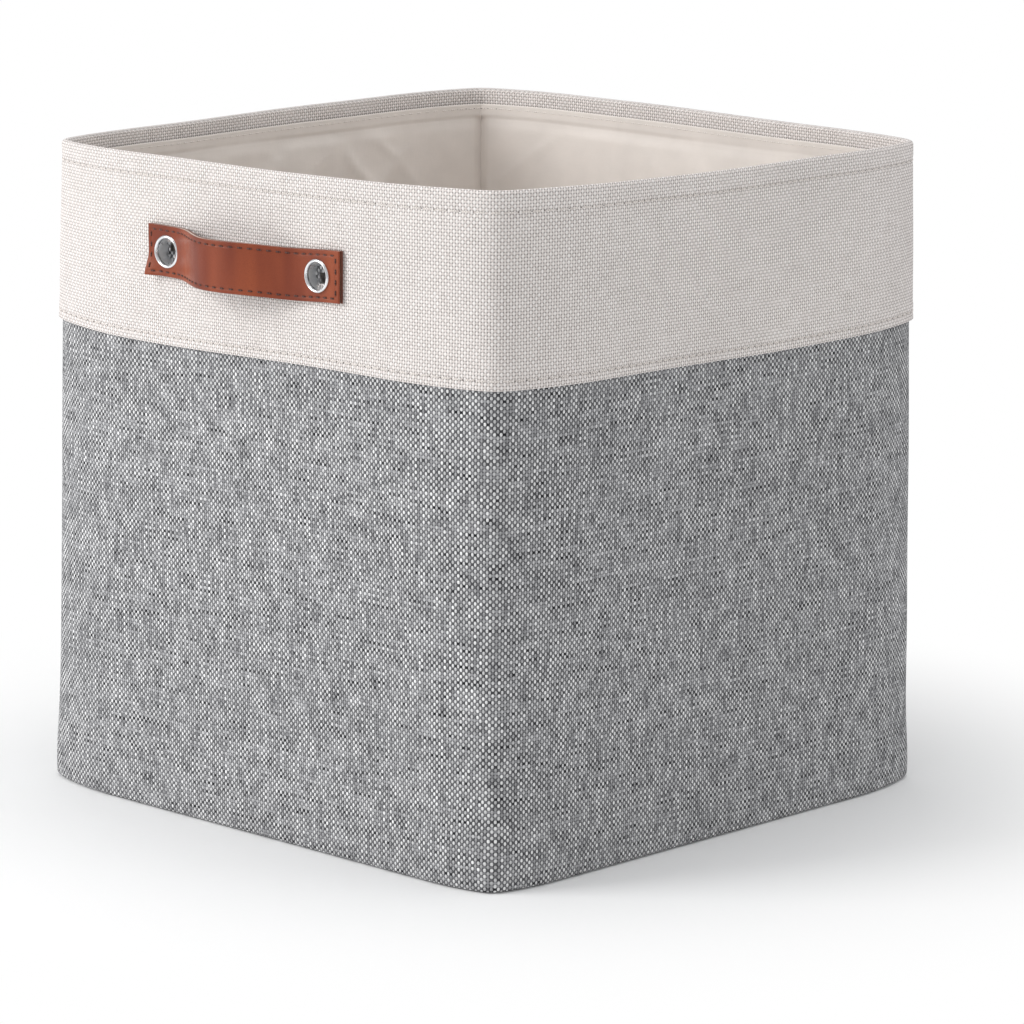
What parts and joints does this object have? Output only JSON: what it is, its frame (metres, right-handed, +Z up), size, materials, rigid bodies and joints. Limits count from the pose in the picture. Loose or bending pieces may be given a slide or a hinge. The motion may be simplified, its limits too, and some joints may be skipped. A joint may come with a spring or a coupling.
{
  "type": "fabric storage bin",
  "caption": "Square soft-sided storage bin of grey canvas with a cream rim band, leather strap handles on chrome eyelets, a thin lining and a loose base board.",
  "frame": {"origin": "on the floor at the middle of the base", "axes": "+Z up; -Y towards the front handle, +Y towards the rear handle; +X towards the right plain wall"},
  "size_m": [0.3338, 0.3738, 0.33],
  "materials": {
    "grey_canvas": "coarse heather weave of dark slate and light yarns, matte",
    "cream_canvas": "coarse plain weave, matte",
    "lining_cloth": "thin smooth beige cloth, matte",
    "greyboard": "pressed grey paper board, matte",
    "brown_leather": "smooth reddish brown, satin",
    "strap_core": "pale bonded fibre, matte",
    "brown_thread": "waxed dark brown thread",
    "cream_thread": "cream sewing thread",
    "chrome": "polished plating"
  },
  "bodies": {
    "bin": {"outer_wrap": "grey_canvas", "outer_base": "grey_canvas", "rim_band": "cream_canvas", "lining_floor": "lining_cloth", "rim_stitching": "cream_thread", "hem_stitching": "cream_thread", "lining_stitching": "cream_thread", "lining_front": "lining_cloth", "wall_board_front": "greyboard", "lining_right": "lining_cloth", "wall_board_right": "greyboard", "lining_rear": "lining_cloth", "wall_board_rear": "greyboard", "lining_left": "lining_cloth", "wall_board_left": "greyboard", "handle_front_leather": "brown_leather", "handle_front_backing": "brown_leather", "handle_front_core": "strap_core", "handle_front_stitching": "brown_thread", "eyelet_front_left": "chrome", "eyelet_washer_front_left": "chrome", "eyelet_front_right": "chrome", "eyelet_washer_front_right": "chrome", "handle_rear_leather": "brown_leather", "handle_rear_backing": "brown_leather", "handle_rear_core": "strap_core", "handle_rear_stitching": "brown_thread", "eyelet_rear_left": "chrome", "eyelet_washer_rear_left": "chrome", "eyelet_rear_right": "chrome", "eyelet_washer_rear_right": "chrome"},
    "base_board": {"base_board_core": "greyboard", "base_board_cover": "lining_cloth"}
  },
  "joints": [
    {"name": "base_board_lift", "type": "slide", "parent": "bin", "child": "base_board", "axis": [0, 0, 1], "range_m": [0, 0.36]}
  ]
}
